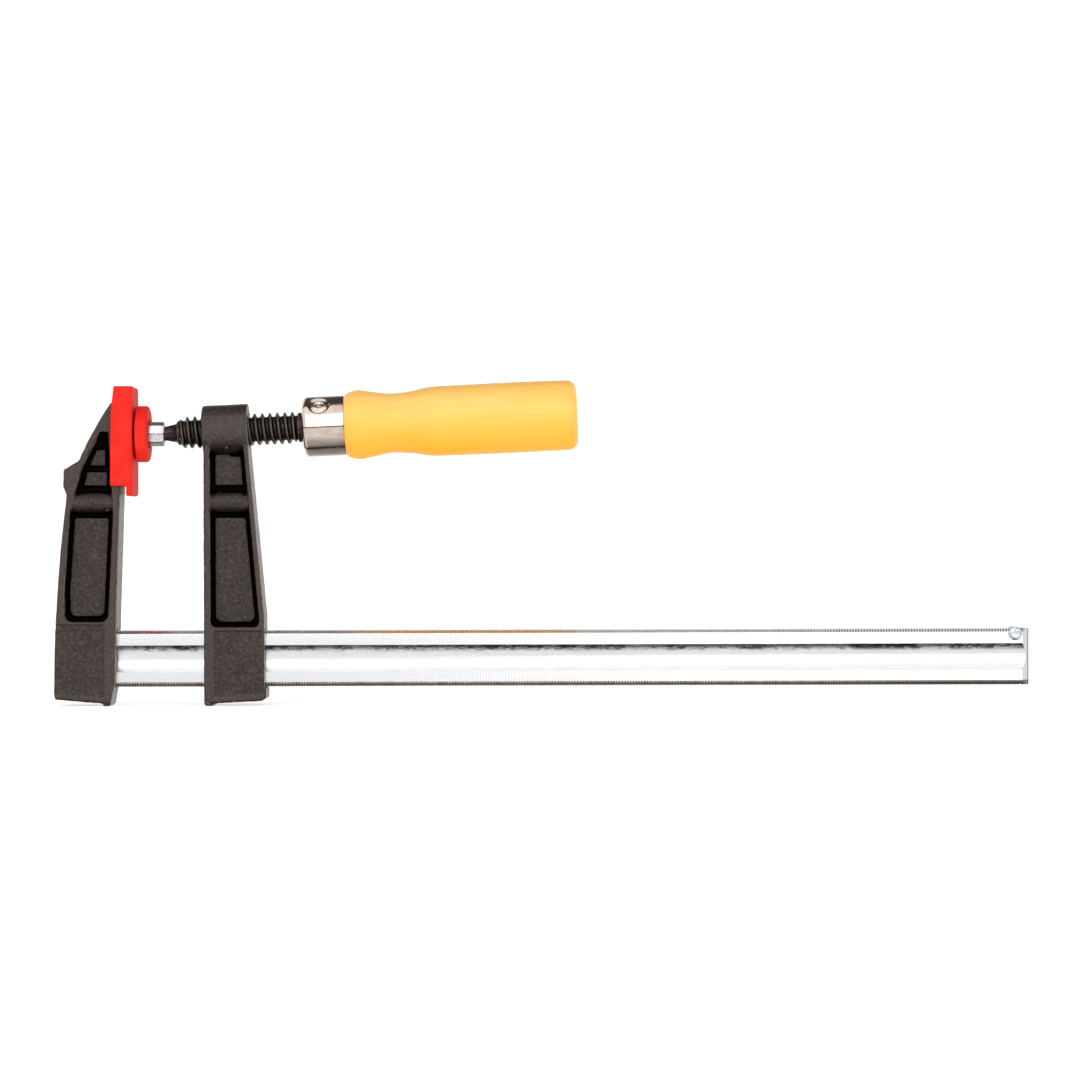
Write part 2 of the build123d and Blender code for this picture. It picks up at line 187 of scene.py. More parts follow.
# ---------------------------------------------------------------- materials
class Recipe:
    """A Principled material built up node by node, in the object's own coordinates."""

    def __init__(self, name, rotation=0.0, **sockets):
        self.material = bpy.data.materials.new(name)
        self.material.use_nodes = True
        self.tree = self.material.node_tree
        self.shader = self.tree.nodes["Principled BSDF"]
        for socket, value in sockets.items():
            self.feed(self.shader.inputs[socket.replace("_", " ")], value)
        place = self.node("ShaderNodeTexCoord").outputs["Object"]
        inputs = {"Vector": place, "Angle": rotation}
        turned = self.node("ShaderNodeVectorRotate", inputs, rotation_type="Y_AXIS")
        self.place = turned.outputs["Vector"]

    def node(self, kind, inputs=None, **settings):
        made = self.tree.nodes.new(kind)
        for key, value in settings.items():
            setattr(made, key, value)
        for key, value in (inputs or {}).items():
            self.feed(made.inputs[key], value)
        return made

    def feed(self, socket, value):
        if isinstance(value, bpy.types.NodeSocket):
            self.tree.links.new(value, socket)
        else:
            socket.default_value = value

    def set(self, socket, value):
        self.feed(self.shader.inputs[socket], value)

    def noise(self, size, detail=3.0, rough=0.55, stretch=(1, 1, 1), twist=0.0):
        """Noise with features of about size millimetres, drawn out by stretch along each axis."""
        scale = [1 / (MM * size * s) for s in stretch]
        spread = self.node("ShaderNodeMapping", {"Vector": self.place, "Scale": scale}, vector_type="POINT")
        inputs = {"Vector": spread.outputs["Vector"], "Scale": 1.0, "Detail": detail, "Roughness": rough,
                  "Distortion": twist}
        return self.node("ShaderNodeTexNoise", inputs).outputs["Fac"]

    def span(self, value, low, high, to_low=0.0, to_high=1.0):
        """Stretch the range low..high of a value onto to_low..to_high, smoothly."""
        inputs = {"Value": value, "From Min": low, "From Max": high, "To Min": to_low, "To Max": to_high}
        return self.node("ShaderNodeMapRange", inputs, interpolation_type="SMOOTHSTEP").outputs["Result"]

    def maths(self, operation, *values):
        made = self.node("ShaderNodeMath", operation=operation)
        for socket, value in zip(made.inputs, values):
            self.feed(socket, value)
        return made.outputs["Value"]

    def mix(self, share, first, second):
        """The first colour where the share is 0, the second where it is 1."""
        made = self.node("ShaderNodeMix", data_type="RGBA")
        self.feed(made.inputs[0], share)
        self.feed(made.inputs[6], first)
        self.feed(made.inputs[7], second)
        return made.outputs[2]

    def axes(self):
        """The three coordinates of the point that is shaded."""
        made = self.node("ShaderNodeSeparateXYZ", {"Vector": self.place})
        return made.outputs["X"], made.outputs["Y"], made.outputs["Z"]

    def facing(self):
        """The parts of the surface's own normal, in the object's coordinates."""
        normal = self.node("ShaderNodeNewGeometry").outputs["Normal"]
        turned = self.node("ShaderNodeVectorTransform", {"Vector": normal}, vector_type="NORMAL",
                           convert_from="WORLD", convert_to="OBJECT")
        made = self.node("ShaderNodeSeparateXYZ", {"Vector": turned.outputs["Vector"]})
        return made.outputs["X"], made.outputs["Y"], made.outputs["Z"]

    def edges(self, low, high):
        """1 on outer edges and 0 on flats."""
        return self.span(self.node("ShaderNodeNewGeometry").outputs["Pointiness"], low, high)

    def shelter(self, reach):
        """1 on open surfaces and less down in corners and gaps, looking out to reach millimetres."""
        made = self.node("ShaderNodeAmbientOcclusion", {"Distance": reach * MM}, samples=8, only_local=True)
        return made.outputs["AO"]

    def ridges(self, turned, width, level=0.0):
        """1 along the eight long corners of a piece drawn round an X axis at this level, 0 on its flats."""
        _, y, z = self.axes()
        angle = self.maths("ARCTAN2", self.maths("SUBTRACT", z, level), self.maths("MULTIPLY", y, -1.0))
        per_radian = 8 / (2 * math.pi)
        phase = self.maths("FRACT", self.maths("MULTIPLY_ADD", angle, per_radian, 0.5 - turned * per_radian))
        off = self.maths("ABSOLUTE", self.maths("SUBTRACT", phase, 0.5))
        return self.span(off, width, 0.0)

    def bump(self, height, depth, base=None):
        """A normal bent by a height of so many millimetres, on top of the bump given as base."""
        inputs = {"Height": height, "Distance": depth * MM, "Strength": 1.0}
        if base is not None:
            inputs["Normal"] = base
        return self.node("ShaderNodeBump", inputs).outputs["Normal"]


def colour(red, green, blue):
    """A colour as the eye reads it, 0 to 255, as the linear colour that the shader wants."""
    def linear(value):
        value /= 255
        return value / 12.92 if value < 0.04045 else ((value + 0.055) / 1.055) ** 2.4
    return (linear(red), linear(green), linear(blue), 1.0)


def cast_paint():
    """Black-brown satin paint on a sand casting, bare on chipped edges, with painted shade in the hollows and
    on faces turned down, painted highlights on flanges and edges, and faces turned towards +X lighter.
    """
    r = Recipe("cast_paint", Metallic=0.0)
    patches = r.noise(6.0, 4, 0.6)
    grain = r.noise(0.95, 5, 0.8)
    depth = r.maths("ABSOLUTE", r.axes()[1])
    sideways, across, upwards = r.facing()
    level = r.maths("ABSOLUTE", across)
    base = r.mix(r.span(patches, 0.32, 0.68), colour(30, 20, 16), colour(43, 30, 25))
    base = r.mix(r.span(grain, 0.46, 0.68, 0.0, 0.85), base, colour(88, 72, 64))
    base = r.mix(r.span(grain, 0.46, 0.32, 0.0, 0.8), base, colour(12, 7, 6))
    # Painted highlight: the flanges, the outermost faces of the jaws, are drawn lighter.
    flange_highlight = r.span(depth, (jaw_base + 0.2) * MM, (jaw_flange - 0.1) * MM, 0.0, 0.2)
    base = r.mix(flange_highlight, base, colour(98, 84, 76))
    # Painted shade: faces turned downwards are drawn near-black.
    base = r.mix(r.span(upwards, -0.2, -0.7, 0.0, 0.85), base, colour(10, 6, 5))
    # Painted highlight: a lighter brown along the outer edges.
    base = r.mix(r.edges(0.53, 0.61), base, colour(112, 98, 88))
    # Faces turned towards +X are drawn lighter, unevenly.
    uneven = r.span(r.noise(1.8, 4, 0.7), 0.38, 0.6, 0.25, 0.9)
    lighter_toward_x = r.maths("MULTIPLY", r.span(sideways, 0.55, 0.9), uneven)
    base = r.mix(lighter_toward_x, base, colour(128, 119, 111))
    chips = r.span(r.noise(1.1, 4, 0.7), 0.52, 0.62)
    bare = r.maths("MULTIPLY", r.edges(0.58, 0.66), chips)
    base = r.mix(bare, base, colour(150, 141, 134))
    # Painted shade: the floors and walls of the hollows round the raised panels are drawn near-black, and
    # made metallic so that they lose their shine.
    below_panels = r.span(depth, (jaw_panel - 0.25) * MM, (jaw_web + 0.5) * MM)
    floor = r.maths("MULTIPLY", below_panels, r.span(level, 0.4, 0.6))
    wall_shade = r.maths("MULTIPLY", r.span(r.shelter(5.0), 0.88, 0.72), r.span(level, 0.9, 0.7))
    hollow_shade = r.maths("MAXIMUM", floor, wall_shade)
    r.set("Base Color", r.mix(hollow_shade, base, colour(12, 7, 5)))
    r.set("Metallic", hollow_shade)
    r.set("Roughness", r.span(grain, 0.3, 0.8, 0.28, 0.5))
    r.set("Specular IOR Level", 0.36)
    rough = r.bump(grain, 0.24)
    r.set("Normal", r.bump(r.noise(1.6, 3, 0.5), 0.2, rough))
    return r.material


def bar_zinc():
    """Bright zinc on a drawn bar: lines along it, dark blotches high in the groove that are partly real
    mottling and partly painted dark reflection, painted shade on the end bevels, and brown rolled edges that
    are darker between the teeth.
    """
    r = Recipe("bar_zinc", Metallic=1.0)
    lines = r.noise(0.22, 2, 0.5, stretch=(90, 1, 1))
    streaks = r.noise(1.1, 4, 0.6, stretch=(9, 1, 1))
    blotches = r.noise(1.5, 5, 0.8, stretch=(2.2, 1, 0.7))
    lengths = r.noise(14.0, 3, 0.6)
    x, _, z = r.axes()
    sideways, _, upwards = r.facing()
    base = r.mix(r.span(streaks, 0.35, 0.75), colour(245, 245, 246), colour(233, 234, 237))
    # Dark grey blotches on the downward-facing upper wall of the groove: partly real mottling, partly a
    # painted dark reflection of what lies below.
    high = r.span(z, (bar_low + 8.0) * MM, (bar_low + 11.0) * MM)
    downward_dark_reflection = r.maths("MULTIPLY", r.span(upwards, -0.28, -0.50), high)
    patchy = r.span(r.maths("MULTIPLY_ADD", lengths, 0.6, blotches), 0.72, 0.90)
    base = r.mix(r.maths("MULTIPLY", downward_dark_reflection, patchy), base, colour(98, 96, 100))
    # Painted shade: the bevels at the free end, which face along the bar, are drawn greyer, with a painted
    # dark outline along their tips.
    base = r.mix(r.span(sideways, 0.3, 0.6, 0.0, 0.8), base, colour(196, 198, 204))
    tip = r.span(x, (bar_far - 0.9) * MM, (bar_far - 0.3) * MM, 0.0, 0.8)
    base = r.mix(tip, base, colour(96, 92, 90))
    # The rolled edges are drawn brown, darker between the teeth and towards the free end.
    past = r.maths("SUBTRACT", x, tooth_place * MM)
    swing = r.maths("COSINE", r.maths("MULTIPLY", past, 2 * math.pi / (tooth_pitch * MM)))
    edge_tone = r.mix(r.span(r.noise(2.6, 4, 0.7), 0.35, 0.7), colour(214, 203, 193), colour(176, 162, 151))
    edge_tone = r.mix(r.span(x, 0.24, 0.34, 0.0, 0.6), edge_tone, colour(120, 110, 102))
    teeth = r.mix(r.span(swing, 0.0, 0.9), edge_tone, colour(92, 82, 75))
    lower_edge = r.span(z, (bar_low + 2.05) * MM, (bar_low + 1.85) * MM)
    rolled = r.maths("MAXIMUM", lower_edge, r.span(upwards, 0.80, 0.93))
    r.set("Base Color", r.mix(rolled, base, teeth))
    drawn = r.span(streaks, 0.3, 0.8, 0.18, 0.32)
    r.set("Roughness", r.maths("MAXIMUM", drawn, r.maths("MULTIPLY", rolled, 0.55)))
    r.set("Normal", r.bump(lines, 0.012, r.bump(streaks, 0.02)))
    return r.material


def bright_steel(name, tint, deep, spots):
    """Plain bright steel with a slightly mottled skin and small dark spots."""
    r = Recipe(name, Metallic=1.0)
    mottle = r.noise(0.7, 4, 0.65)
    base = r.mix(r.span(mottle, 0.42, 0.68), tint, deep)
    r.set("Base Color", r.mix(r.span(r.noise(0.9, 3, 0.6), 0.60, 0.68), base, spots))
    r.set("Roughness", r.span(mottle, 0.3, 0.8, 0.18, 0.4))
    r.set("Normal", r.bump(mottle, 0.05))
    return r.material


def socket_plate():
    """Bright zinc on the pad's crimped socket, with a painted dark reflection along its eight corners."""
    r = Recipe("socket_plate", Metallic=1.0)
    mottle = r.noise(0.8, 4, 0.65)
    base = r.mix(r.span(mottle, 0.35, 0.7), colour(244, 244, 247), colour(214, 214, 222))
    uneven = r.span(r.noise(1.2, 3), 0.3, 0.5, 0.55, 1.0)
    # Painted reflection: dark lines along the socket's corners.
    line = r.maths("MULTIPLY", r.ridges(0.0, 0.11, pad_pivot[2]), uneven)
    r.set("Base Color", r.mix(line, base, colour(46, 42, 48)))
    r.set("Roughness", r.span(mottle, 0.3, 0.8, 0.16, 0.32))
    r.set("Normal", r.bump(mottle, 0.03))
    return r.material


def nickel():
    """Nickel plate on a drawn cup: mirror bright and a little warm, hazy, with a painted dark reflection
    along its corners.
    """
    r = Recipe("nickel", rotation=screw_tilt, Metallic=1.0)
    haze = r.noise(3.0, 4, 0.6, stretch=(2, 1, 1))
    base = r.mix(r.span(haze, 0.3, 0.75), colour(234, 218, 206), colour(208, 187, 172))
    uneven = r.span(r.noise(2.0, 3), 0.3, 0.55, 0.5, 0.95)
    # Painted reflection: dark brown lines along the ferrule's eight corners.
    line = r.maths("MULTIPLY", r.ridges(ferrule_turn, 0.05), uneven)
    r.set("Base Color", r.mix(line, base, colour(70, 50, 42)))
    r.set("Roughness", r.span(haze, 0.3, 0.8, 0.07, 0.15))
    r.set("Normal", r.bump(r.noise(0.5, 2, 0.5, stretch=(8, 1, 1)), 0.006))
    return r.material


def black_oxide():
    """Black oxide on the rolled screw, with a painted highlight on its crests and painted shade down between
    them.
    """
    r = Recipe("black_oxide", rotation=screw_tilt, Metallic=0.75)
    mottle = r.noise(0.9, 4, 0.65)
    base = r.mix(r.span(mottle, 0.35, 0.7), colour(40, 34, 30), colour(66, 58, 52))
    # Painted highlight: a light beige along the thread's crests.
    base = r.mix(r.edges(0.51, 0.58), base, colour(186, 172, 160))
    # Painted shade: near-black down in the thread's roots and other tight corners.
    r.set("Base Color", r.mix(r.span(r.shelter(2.0), 0.45, 0.85), colour(6, 4, 4), base))
    r.set("Roughness", r.span(mottle, 0.3, 0.8, 0.22, 0.42))
    r.set("Normal", r.bump(mottle, 0.03))
    return r.material


def red_plastic():
    """Soft moulded plastic, faintly uneven, with the mould's fine matt skin."""
    r = Recipe("red_plastic", Metallic=0.0)
    cloud = r.noise(7.0, 3, 0.5)
    flow = r.noise(1.6, 3, 0.5, stretch=(1, 1, 12))
    base = r.mix(r.span(cloud, 0.3, 0.7), colour(227, 44, 33), colour(219, 36, 26))
    base = r.mix(r.span(flow, 0.55, 0.75, 0.0, 0.5), base, colour(214, 30, 23))
    # Painted shade: a deep red in gaps and corners.
    r.set("Base Color", r.mix(r.span(r.shelter(2.0), 0.2, 0.7), colour(120, 6, 5), base))
    r.set("Roughness", r.span(r.noise(0.8, 3), 0.3, 0.7, 0.52, 0.68))
    r.set("Specular IOR Level", 0.1)
    r.set("Subsurface Weight", 0.06)
    r.set("Subsurface Radius", (0.003, 0.0006, 0.0004))
    r.set("Normal", r.bump(r.noise(0.35, 2), 0.012, r.bump(cloud, 0.15)))
    return r.material


def lacquered_wood():
    """Golden-yellow satin lacquer over turned wood: long soft grain and faint turning marks."""
    r = Recipe("lacquered_wood", rotation=screw_tilt, Metallic=0.0)
    grain = r.noise(1.3, 5, 0.6, stretch=(26, 1, 1), twist=0.4)
    height = r.facing()[2]
    broad = r.noise(7.0, 3, 0.5, stretch=(5, 1, 1))
    rings = r.noise(0.5, 2, 0.5, stretch=(1, 60, 60))
    # Painted light: lighter yellow on faces turned up, deeper yellow on faces turned down.
    base = r.mix(r.span(height, -0.8, 0.6), colour(250, 172, 34), colour(254, 201, 110))
    base = r.mix(r.span(broad, 0.3, 0.7, 0.0, 0.5), base, colour(250, 186, 70))
    base = r.mix(r.span(grain, 0.5, 0.8, 0.0, 0.35), base, colour(240, 166, 52))
    r.set("Base Color", base)
    r.set("Roughness", r.span(grain, 0.3, 0.8, 0.36, 0.48))
    r.set("Specular IOR Level", 0.35)
    r.set("Coat Weight", 0.12)
    r.set("Coat Roughness", 0.25)
    r.set("Subsurface Weight", 0.05)
    r.set("Subsurface Radius", (0.003, 0.0012, 0.0003))
    r.set("Normal", r.bump(rings, 0.010, r.bump(grain, 0.02)))
    return r.material


# ---------------------------------------------------------------- sizes the materials share with the pieces
jaw_flange = 8.6                    # half thickness of the jaws at their flanges
jaw_base = 8.1                      # at their bases
jaw_panel = 4.2                     # at the raised panels on their webs
jaw_web = 3.1                       # at the webs themselves
bar_near, bar_far = (corner[0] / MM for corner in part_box("bar"))
bar_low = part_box("bar")[0][2] / MM
tooth_pitch = 1.11
tooth_depth = 0.42
tooth_gap = 0.72                    # where the gap between two teeth is deepest, as a share of the pitch
tooth_place = bar_near + tooth_gap * tooth_pitch
ferrule_turn = math.radians(-3.0)

paint = cast_paint()
zinc = bar_zinc()
steel = bright_steel("pin_steel", colour(226, 230, 236), colour(150, 158, 170), colour(70, 74, 84))
blued = bright_steel("stop_steel", colour(222, 230, 240), colour(160, 174, 192), colour(62, 68, 80))
plate = socket_plate()
plated = nickel()
oxide = black_oxide()
plastic = red_plastic()
wood = lacquered_wood()


# ---------------------------------------------------------------- bar
edge_chamfer = 1.5
groove_half = 5.35
groove_depth = 2.1
end_bevel = 3.0                     # length of the bevels at the free end
end_land = 0.5                      # half width left between them


def bar_section(half, height, sunk):
    """Half of the bar's outline from top to bottom, as (depth, height) pairs.

    Between two teeth its edges are sunk, by up to the depth of a tooth.
    """
    top = height / 2 - sunk
    shoulder = height / 2 - edge_chamfer
    radius = (groove_half ** 2 + groove_depth ** 2) / (2 * groove_depth)
    centre = half - groove_depth + radius
    swing = math.asin(groove_half / radius)
    groove = [
        (centre - radius * math.cos(a), radius * math.sin(a)) for a in np.linspace(swing, -swing, 17)
    ]
    upper = [(0, top), (half - edge_chamfer - 0.1 * sunk, top), (half - 0.35 * sunk, shoulder + 0.15),
             (half, shoulder - 0.25)]
    lower = [(y, -z) for y, z in reversed(upper)]
    return upper + groove + lower


def make_bar():
    lo, hi = (np.array(corner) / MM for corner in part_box("bar"))
    half, height, middle = hi[1], hi[2] - lo[2], (hi[2] + lo[2]) / 2
    stations = []
    tooth = lo[0]
    while tooth < hi[0] - end_bevel - tooth_pitch:
        stations += [(tooth, 0.0), (tooth + 0.45 * tooth_pitch, 0.0)]
        stations.append((tooth + tooth_gap * tooth_pitch, tooth_depth))
        tooth += tooth_pitch
    stations += [(x, 0.0) for x in np.linspace(hi[0] - end_bevel, hi[0], 25)]
    rings = []
    for x, sunk in stations:
        limit = end_land + (half - end_land) * min(1.0, (hi[0] - x) / end_bevel)
        front = [(-min(y, limit), z) for y, z in bar_section(half, height, sunk)]
        outline = front + [(-y, z) for y, z in reversed(front[1:-1])]
        rings.append(MM * np.array([(x, y, middle + z) for y, z in outline]))
    return skin("bar_rail", rings, crease=28)


settle(make_bar(), zinc, "frame", "galvanised_bar", "bar")


# ---------------------------------------------------------------- stop pin
def make_stop_pin():
    lo, hi = (np.array(corner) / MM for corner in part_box("stop_pin"))
    centre = (lo + hi) / 2
    reach, radius = hi[1] - centre[1], (hi[0] - lo[0]) / 2
    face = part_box("bar")[1][1] / MM
    shank = 1.2
    head = [(face, radius), (face + 0.35, radius), (face + 0.65, 0.9 * radius), (face + 0.95, 0.7 * radius),
            (reach, 0.48 * radius), (reach - 0.12, 0.3 * radius), (reach - 0.3, 0.12 * radius)]
    profile = [(-s, r) for s, r in reversed(head)] + [(-face, shank), (face, shank)] + head
    return lathe("stop_rivet", Axle(centre * MM, (0, 1, 0)), profile, steps=48, crease=50)


settle(make_stop_pin(), blued, "frame", "bright_steel", "stop_pin")


# ---------------------------------------------------------------- jaws
def make_jaw(name, node):
    return roughened(softened(name, node, voxel=0.36, rounds=4), node, height=0.08, size=2.2)


settle(make_jaw("fixed_jaw_casting", "fixed_jaw"), paint, "frame", "black_casting", "fixed_jaw")


bore_clear = 6.75                   # radius the bore is opened to, clear of the screw's crests
bore_limits = 4.0, 7.2              # radii between which a point belongs to the bore


def make_sliding_jaw():
    """The sliding jaw, with its bore kept clear of the screw's crests."""
    jaw = make_jaw("sliding_jaw_casting", "sliding_jaw")
    points = coordinates(jaw.data)
    along = points @ screw.along
    across = points - np.outer(along, screw.along)
    radius = np.linalg.norm(across, axis=1)
    bore = (radius > bore_limits[0] * MM) & (radius < bore_limits[1] * MM)
    across[bore] *= (bore_clear * MM / radius[bore])[:, None]
    place_vertices(jaw.data, across + np.outer(along, screw.along))
    return jaw


settle(make_sliding_jaw(), paint, "slider", "black_casting", "sliding_jaw")


# ---------------------------------------------------------------- soft caps
jaw_cap = softened("fixed_jaw_soft_cap", "fixed_jaw_cap", voxel=0.2, rounds=5)
settle(jaw_cap, plastic, "frame", "red_plastic", "fixed_jaw_cap")
pad_cap = softened("pad_soft_cap", "pad_cap", voxel=0.28, rounds=3)
settle(pad_cap, plastic, "pad", "red_plastic", "pad_cap")


# ---------------------------------------------------------------- spindle
thread_crest = 6.4
thread_root = 4.85
thread_pitch = 3.0
thread_start, thread_end = 17.4, 64.2
ring_spacing = 0.11                 # between the rings that the thread is drawn with
collar_start, collar_end = 65.0, 67.35
collar_radius = 5.9
tang_radius = 4.7
tang_end = 116.0


def smooth(low, high, value):
    """0 at low and beyond it, 1 at high and beyond it, and an even S-shaped rise between them."""
    t = np.clip((value - low) / (high - low), 0, 1)
    return t * t * (3 - 2 * t)


def thread_ridge(phase):
    """Height of the rolled thread, 0 at the root to 1 at the crest, for a phase of 0 to 1 along one pitch."""
    off = np.abs((phase + 0.5) % 1 - 0.5)
    return smooth(0.40, 0.05, off)


def make_spindle():
    angles = turn(84)
    rings = []
    for s, radius in [(11.9, 2.8), (12.6, 2.85), (14.6, 3.3), (16.6, 3.75)]:
        rings.append(screw.ring(s, radius, angles))
    for s in np.append(np.arange(thread_start, collar_end, ring_spacing), collar_end):
        core = thread_root + (collar_radius - thread_root) * smooth(collar_start, collar_start + 0.6, s)
        fade = smooth(thread_start - 0.4, thread_start + 3.2, s)
        fade = fade * smooth(thread_end + 0.9, thread_end - 0.4, s)
        ridge = thread_ridge((s - thread_start) / thread_pitch + angles / (2 * math.pi) - 0.5)
        rings.append(screw.ring(s, core + fade * (thread_crest - core) * ridge, angles))
    after = [(collar_end, tang_radius), (tang_end - 1, tang_radius), (tang_end, tang_radius - 1)]
    for s, radius in after:
        rings.append(screw.ring(s, radius, angles))
    return skin("screw_spindle", rings, crease=50)


settle(make_spindle(), oxide, "screw", "black_steel", "spindle")
frame["nodes"]["spindle_ball"].data.materials[0] = oxide


# ---------------------------------------------------------------- ferrule and its pin
ferrule_start, ferrule_end = 67.4, 84.0
ferrule_flat = 11.5                 # from the axis to the middle of a side
ferrule_bow = 26.0                  # radius that its eight sides are bowed to
ferrule_wall = 0.9
ferrule_round = 2.3                 # rounding of its closed end
neck_radius = 10.3                  # the handle's neck inside it
pin_s = 74.3                        # place of the cross pin along the screw's axis
pin_rise = math.radians(49.0)       # above the horizontal, towards the front
pin_radius = 1.7
pin_reach = 11.6                    # from the screw's axis to each end of it
dish_depth = 1.05                   # of the dish pressed round each end of the pin
dish_rim, dish_foot = 5.4, 3.0      # radii where it starts and where it is deepest
lip_height = 0.6                    # of the rounded lip that stands up inside the dish
lip_outside, lip_inside = (3.5, 2.8), (1.75, 2.2)
eighth = math.pi / 8                # half the angle that one side of an octagon spans


def octagon(angles, flat, corner):
    """Radius, in each direction, of an octagon with rounded corners: flat is the distance to its sides."""
    off = np.abs((angles + eighth) % (2 * eighth) - eighth)
    centre = (flat - corner) / math.cos(eighth)
    side = flat / np.cos(eighth - off)
    arc = centre * np.cos(off) + np.sqrt(np.maximum(corner ** 2 - (centre * np.sin(off)) ** 2, 0))
    tangent = eighth - math.atan((flat - corner) * math.tan(eighth) / flat)
    return np.where(off < tangent, arc, side)


def bowed_octagon(angles, flat, bow, turned):
    """Radius, in each direction, of an octagon with bowed sides, its corners rounded by averaging."""
    off = (angles - turned) % (2 * eighth) - eighth
    back = bow - flat
    radius = np.sqrt(bow ** 2 - (back * np.sin(off)) ** 2) - back * np.cos(off)
    return np.mean([np.roll(radius, k) for k in range(-3, 4)], axis=0)


def pressed(points):
    """Press the dishes round the pin's two ends into the ferrule."""
    out = math.cos(pin_rise) * screw.front + math.sin(pin_rise) * screw.up
    centre = MM * pin_s * screw.along
    for side in (1, -1):
        offset = points - centre
        reach = offset @ (side * out)
        ring = np.linalg.norm(offset - np.outer(reach, side * out), axis=1) / MM
        lip = lip_height * smooth(*lip_outside, ring) * smooth(*lip_inside, ring)
        dish = dish_depth * smooth(dish_rim, dish_foot, ring) - lip
        points = points - np.outer(np.where(reach > 0, dish, 0) * MM, side * out)
    return points


def make_ferrule():
    angles = turn(420)
    outer = []
    cup = bowed_octagon(angles, ferrule_flat, ferrule_bow, ferrule_turn)
    closed_end = ferrule_round * (1 - np.cos(np.linspace(0, math.pi / 2, 12)[:-1]))
    sides = np.linspace(ferrule_round, ferrule_end - ferrule_start, 90)
    for s in ferrule_start + np.concatenate([closed_end, sides]):
        rise = max(0.0, 1 - (s - ferrule_start) / ferrule_round)
        rounding = ferrule_round * (1 - math.sqrt(1 - rise ** 2))
        outer.append(pressed(screw.ring(s, cup - rounding, angles)))
    inner = [
        screw.ring(s, np.minimum(cup - ferrule_wall, neck_radius + 0.15), angles)
        for s in np.linspace(ferrule_end, ferrule_start + ferrule_wall, 6)
    ]
    throat = [screw.ring(s, tang_radius + 0.1, angles) for s in (ferrule_start + ferrule_wall, ferrule_start)]
    return skin("nickel_ferrule", outer + inner + throat, crease=40, joined=True)


settle(make_ferrule(), plated, "screw", "nickel_plate", "ferrule")


def make_pin():
    out = math.cos(pin_rise) * screw.front + math.sin(pin_rise) * screw.up
    axle = Axle(MM * pin_s * screw.along, out)
    head = [(pin_reach - back, share * pin_radius)
            for back, share in ((0.9, 1), (0.35, 1), (0.1, 0.8), (0, 0.55), (0.1, 0.3), (0.2, 0.1))]
    profile = [(-s, r) for s, r in reversed(head)] + head
    return lathe("cross_pin", axle, profile, steps=40, crease=50)


settle(make_pin(), steel, "screw", "bright_steel", "ferrule_pin")


# ---------------------------------------------------------------- handle
def curve_through(points, spacing):
    """A smooth line through (distance, radius) points: a Catmull-Rom curve at an even spacing."""
    points = np.array(points, float)
    padded = np.vstack([2 * points[0] - points[1], points, 2 * points[-1] - points[-2]])
    line = []
    for a, b, c, d in zip(padded, padded[1:], padded[2:], padded[3:]):
        steps = max(2, int(np.linalg.norm(c - b) / spacing))
        for t in np.arange(steps) / steps:
            line.append(0.5 * (2 * b + (c - a) * t + (2 * a - 5 * b + 4 * c - d) * t ** 2
                               + (3 * b - a - 3 * c + d) * t ** 3))
    return [tuple(p) for p in line] + [tuple(points[-1])]


def make_handle():
    start, shoulder, end = ferrule_start + 1.0, ferrule_end + 0.05, 177.0
    neck = [(start, tang_radius + 0.05), (start, neck_radius), (shoulder, neck_radius)]
    grip = curve_through([(shoulder, 11.3), (84.7, 12.3), (87.0, 13.35), (90.2, 13.85), (94.6, 13.05),
                          (102.8, 11.85), (111.4, 12.55), (118.4, 13.75), (128.0, 13.95), (150.0, 14.09),
                          (172.4, 13.9), (174.4, 13.65), (175.9, 12.7), (176.8, 11.2), (end, 9.4)], 0.6)
    return lathe("turned_handle", screw, neck + grip + [(end, 4.0), (end, 0.5)], steps=128, crease=40)


settle(make_handle(), wood, "screw", "lacquered_wood", "handle")


# ---------------------------------------------------------------- swivel pad
socket_start, socket_end = 5.1, 12.3
socket_flat = 4.573                 # from the axis to its sides
socket_corner = 0.8                 # rounding of its eight corners
socket_mouth = 1.7                  # length of the rounding over the ball


def make_pad():
    angles = turn(160)
    disc = [(2.4, 0.6), (2.4, 9.3), (2.6, 9.7), (2.9, 9.8), (4.3, 9.8), (4.65, 9.65), (4.8, 9.3), (4.8, 5.6)]
    rings = [pad_axle.ring(s, r, angles) for s, r in disc]
    outline = octagon(angles, socket_flat, socket_corner)
    for s in np.linspace(socket_start, socket_end, 40):
        rise = max(0.0, (s - socket_end + socket_mouth) / socket_mouth)
        rounding = socket_mouth * (1 - math.sqrt(1 - min(rise, 0.995) ** 2))
        rings.append(pad_axle.ring(s, outline - 0.9 * rounding, angles))
    for s, radius in [(12.25, 2.95), (11.9, 2.85)]:
        rings.append(pad_axle.ring(s, radius, angles))
    return skin("crimped_pad", rings, crease=35)


settle(make_pad(), plate, "pad", "zinc_plate", "swivel_pad")


# ---------------------------------------------------------------- stage, light and camera
def make_floor():
    """A pale floor at the level the clamp stands on, which glows a little to match the white background."""
    low, reach = cad_box[0][2], 12
    points = [(x * reach, y * reach, low) for x, y in ((-1, -1), (1, -1), (1, 1), (-1, 1))]
    mesh = bpy.data.meshes.new("floor")
    mesh.from_pydata(points, [], [(0, 1, 2, 3)])
    floor = bpy.data.objects.new("floor", mesh)
    bpy.context.scene.collection.objects.link(floor)
    r = Recipe("pale_floor", Roughness=0.9, Metallic=0.0)
    r.set("Base Color", (0.92, 0.92, 0.92, 1))
    r.set("Specular IOR Level", 0.0)
    r.set("Emission Color", (1, 1, 1, 1))
    r.set("Emission Strength", 0.6)
    mesh.materials.append(r.material)
    floor.visible_glossy = False


